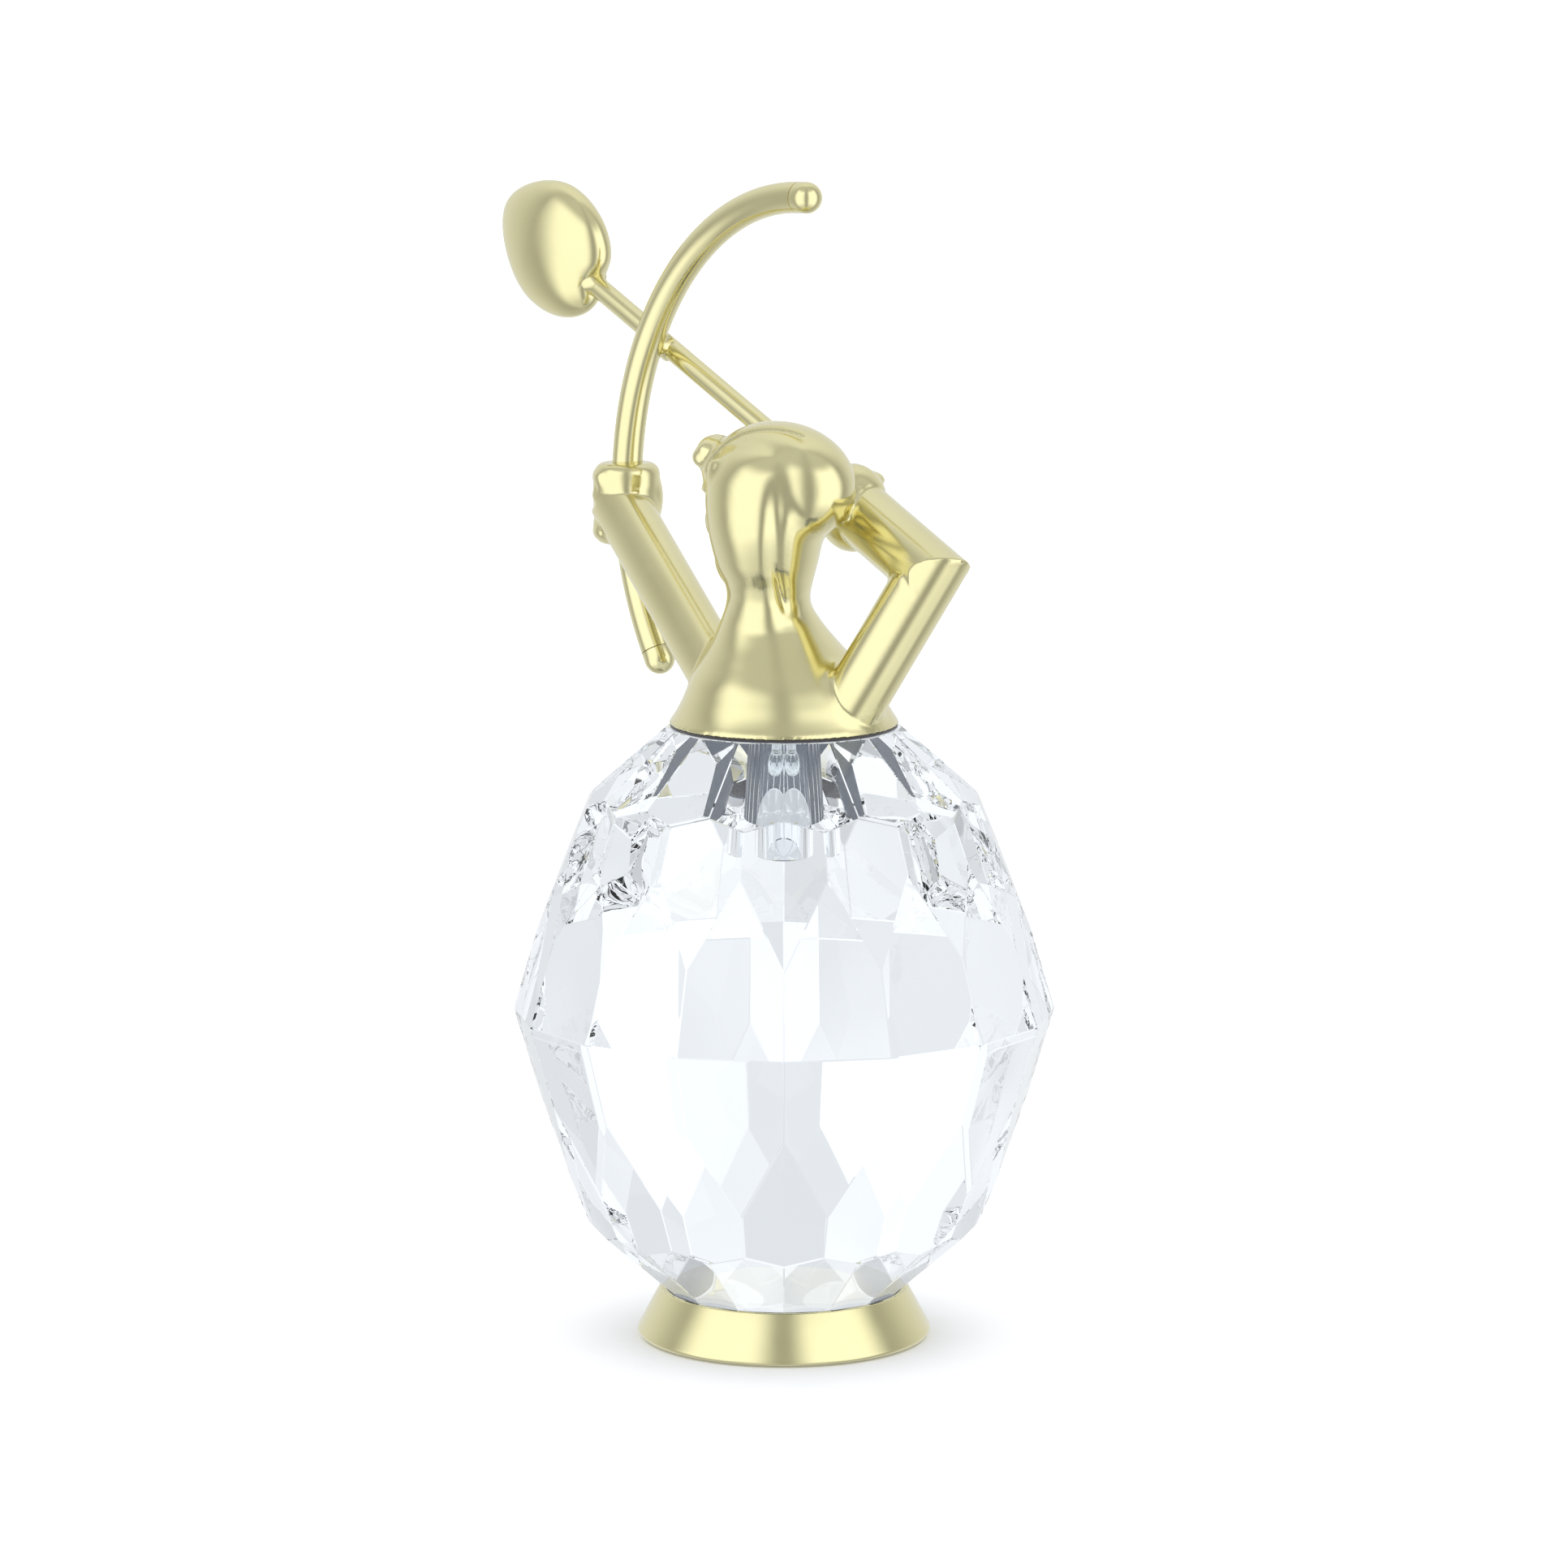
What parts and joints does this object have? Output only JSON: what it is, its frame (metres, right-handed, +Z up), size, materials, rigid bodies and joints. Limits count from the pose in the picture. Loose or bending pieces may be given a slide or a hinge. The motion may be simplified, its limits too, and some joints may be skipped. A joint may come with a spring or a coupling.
{
  "type": "perfume bottle",
  "caption": "Faceted clear crystal perfume flacon on a metal foot, with a gilt archer figure as its stopper and a dauber rod inside.",
  "frame": {"origin": "centre of the underside of the foot pad, which is what the flacon stands on", "axes": "+Z up through the flacon and its stopper; the figure's back faces -Y, and it aims between -X and +Y, 130 degrees from +X"},
  "size_m": [0.0627, 0.0807, 0.1281],
  "materials": {
    "gilt": "polished brass casting with a pale champagne-gold plating",
    "crystal": "clear crystal, cut and polished",
    "dauber_glass": "clear drawn glass rod",
    "polymer": "translucent white moulded polyethylene",
    "silicone": "translucent silicone",
    "felt": "dark pressed felt"
  },
  "bodies": {
    "root": {"foot_ring": "gilt", "foot_pad": "felt", "crystal_body": "crystal", "neck_collar": "gilt"},
    "plug": {"stopper_plug": "polymer", "seal_ring_upper": "silicone", "seal_ring_lower": "silicone", "dauber_rod": "dauber_glass"},
    "figure": {"mounting_stud": "gilt", "torso": "gilt", "head": "gilt", "bow": "gilt", "bow_cap_upper": "gilt", "bow_cap_lower": "gilt", "arrow_shaft": "gilt", "arrow_collar": "gilt", "arrow_heart": "gilt", "bow_arm": "gilt", "bow_hand": "gilt", "drawing_upper_arm": "gilt", "drawing_forearm": "gilt", "drawing_hand": "gilt"}
  },
  "joints": [
    {"name": "stopper_lift", "type": "slide", "parent": "root", "child": "plug", "axis": [0, 0, 1], "range_m": [0, 0.035]},
    {"name": "stopper_turn", "type": "hinge", "parent": "plug", "child": "figure", "pos_m": [0, 0, 0.0705], "axis": [0, 0, 1], "continuous": true}
  ]
}
